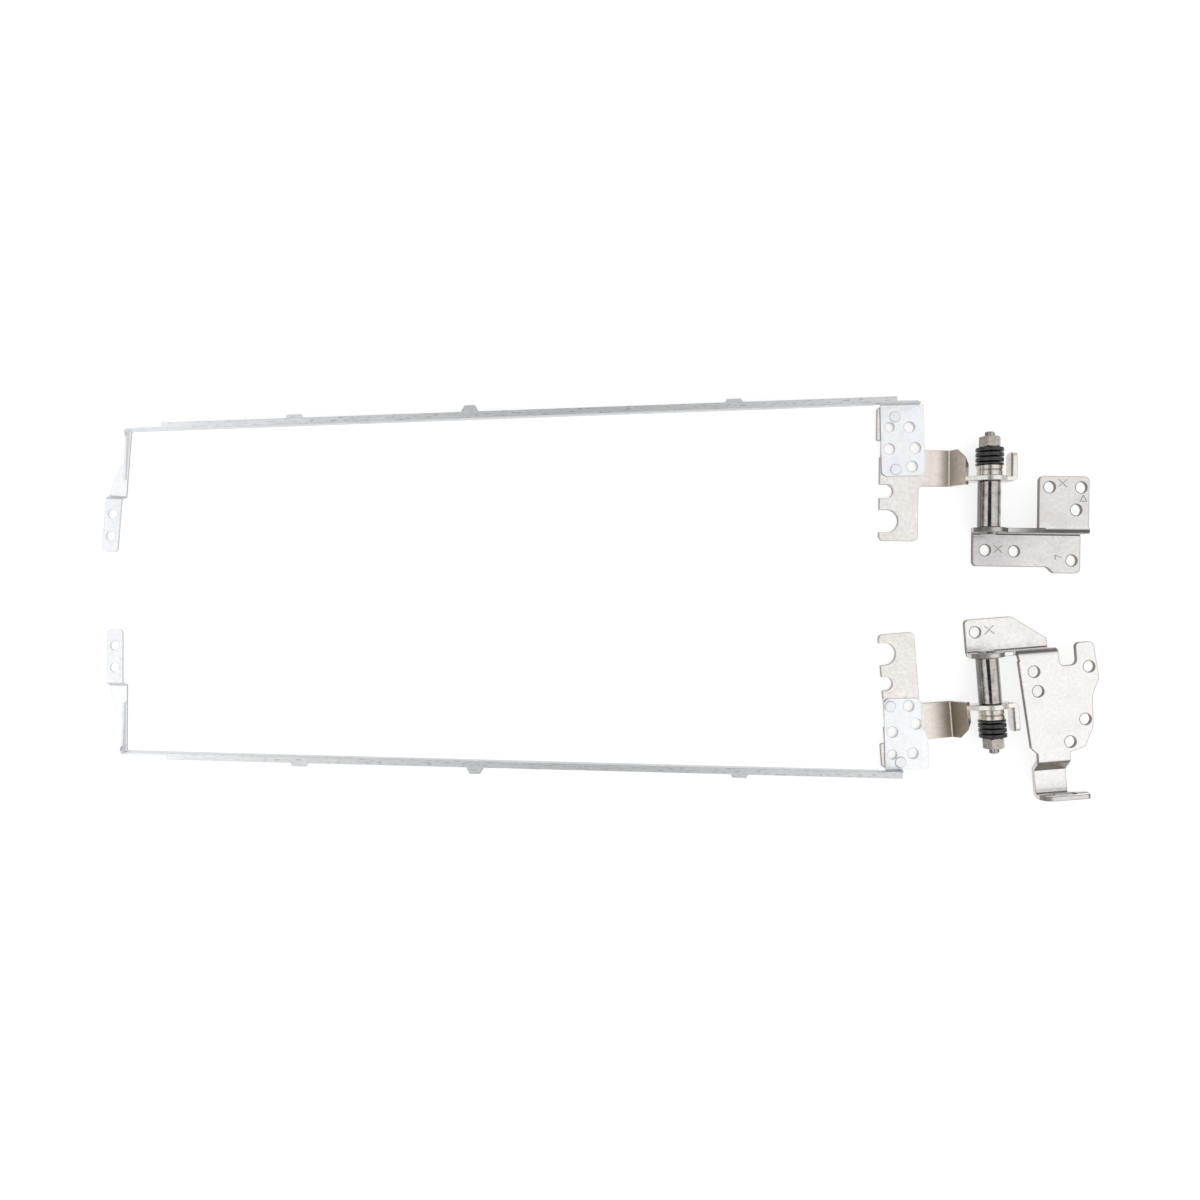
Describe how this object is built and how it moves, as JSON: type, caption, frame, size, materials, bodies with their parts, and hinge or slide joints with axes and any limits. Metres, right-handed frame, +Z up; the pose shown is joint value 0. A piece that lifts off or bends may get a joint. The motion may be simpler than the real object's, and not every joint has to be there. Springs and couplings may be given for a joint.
{
  "type": "laptop hinge pair",
  "caption": "Right and left laptop screen hinges, each a folded base bracket and a friction shaft that turns a display bracket with a long slotted rail for the lid.",
  "frame": {"origin": "on the table under the middle of the pair's outline", "axes": "+X along the rails towards the shafts, +Y across from the left hinge to the right one, +Z up from the table"},
  "size_m": [0.2632, 0.1066, 0.0096],
  "materials": {
    "galvanised_steel": "bright galvanised sheet, satin, with dull cut edges",
    "nickel_plate": "nickel-plated pressed steel, softly mottled, half bright",
    "dark_steel": "turned and hardened steel, dark and oiled, bright",
    "nickel_hardware": "nickel-plated, half bright",
    "black_spring_steel": "black oxide, half matte"
  },
  "bodies": {
    "hinge_bases": {"right_base_bracket": "nickel_plate", "right_hinge_shaft": "dark_steel", "right_friction_washer": "nickel_hardware", "right_pressure_washer": "nickel_hardware", "right_disc_spring_1": "black_spring_steel", "right_disc_spring_2": "black_spring_steel", "right_disc_spring_3": "black_spring_steel", "right_disc_spring_4": "black_spring_steel", "right_disc_spring_5": "black_spring_steel", "right_disc_spring_6": "black_spring_steel", "right_disc_spring_7": "black_spring_steel", "right_lock_nut": "nickel_hardware", "left_base_bracket": "nickel_plate", "left_hinge_shaft": "dark_steel", "left_friction_washer": "nickel_hardware", "left_pressure_washer": "nickel_hardware", "left_disc_spring_1": "black_spring_steel", "left_disc_spring_2": "black_spring_steel", "left_disc_spring_3": "black_spring_steel", "left_disc_spring_4": "black_spring_steel", "left_disc_spring_5": "black_spring_steel", "left_disc_spring_6": "black_spring_steel", "left_disc_spring_7": "black_spring_steel", "left_lock_nut": "nickel_hardware"},
    "right_display_side": {"right_display_rail": "galvanised_steel", "right_display_bracket": "nickel_plate", "right_rail_rivets": "galvanised_steel"},
    "left_display_side": {"left_display_rail": "galvanised_steel", "left_display_bracket": "nickel_plate", "left_rail_rivets": "galvanised_steel"}
  },
  "joints": [
    {"name": "right_hinge", "type": "hinge", "parent": "hinge_bases", "child": "right_display_side", "pos_m": [0.10373, 0.03124, 0.0052], "axis": [0.0131, 0.9999, 0], "range_deg": [0, 180]},
    {"name": "left_hinge", "type": "hinge", "parent": "hinge_bases", "child": "left_display_side", "pos_m": [0.10408, -0.02867, 0.0052], "axis": [-0.0785, 0.9969, 0], "range_deg": [0, 165]}
  ]
}
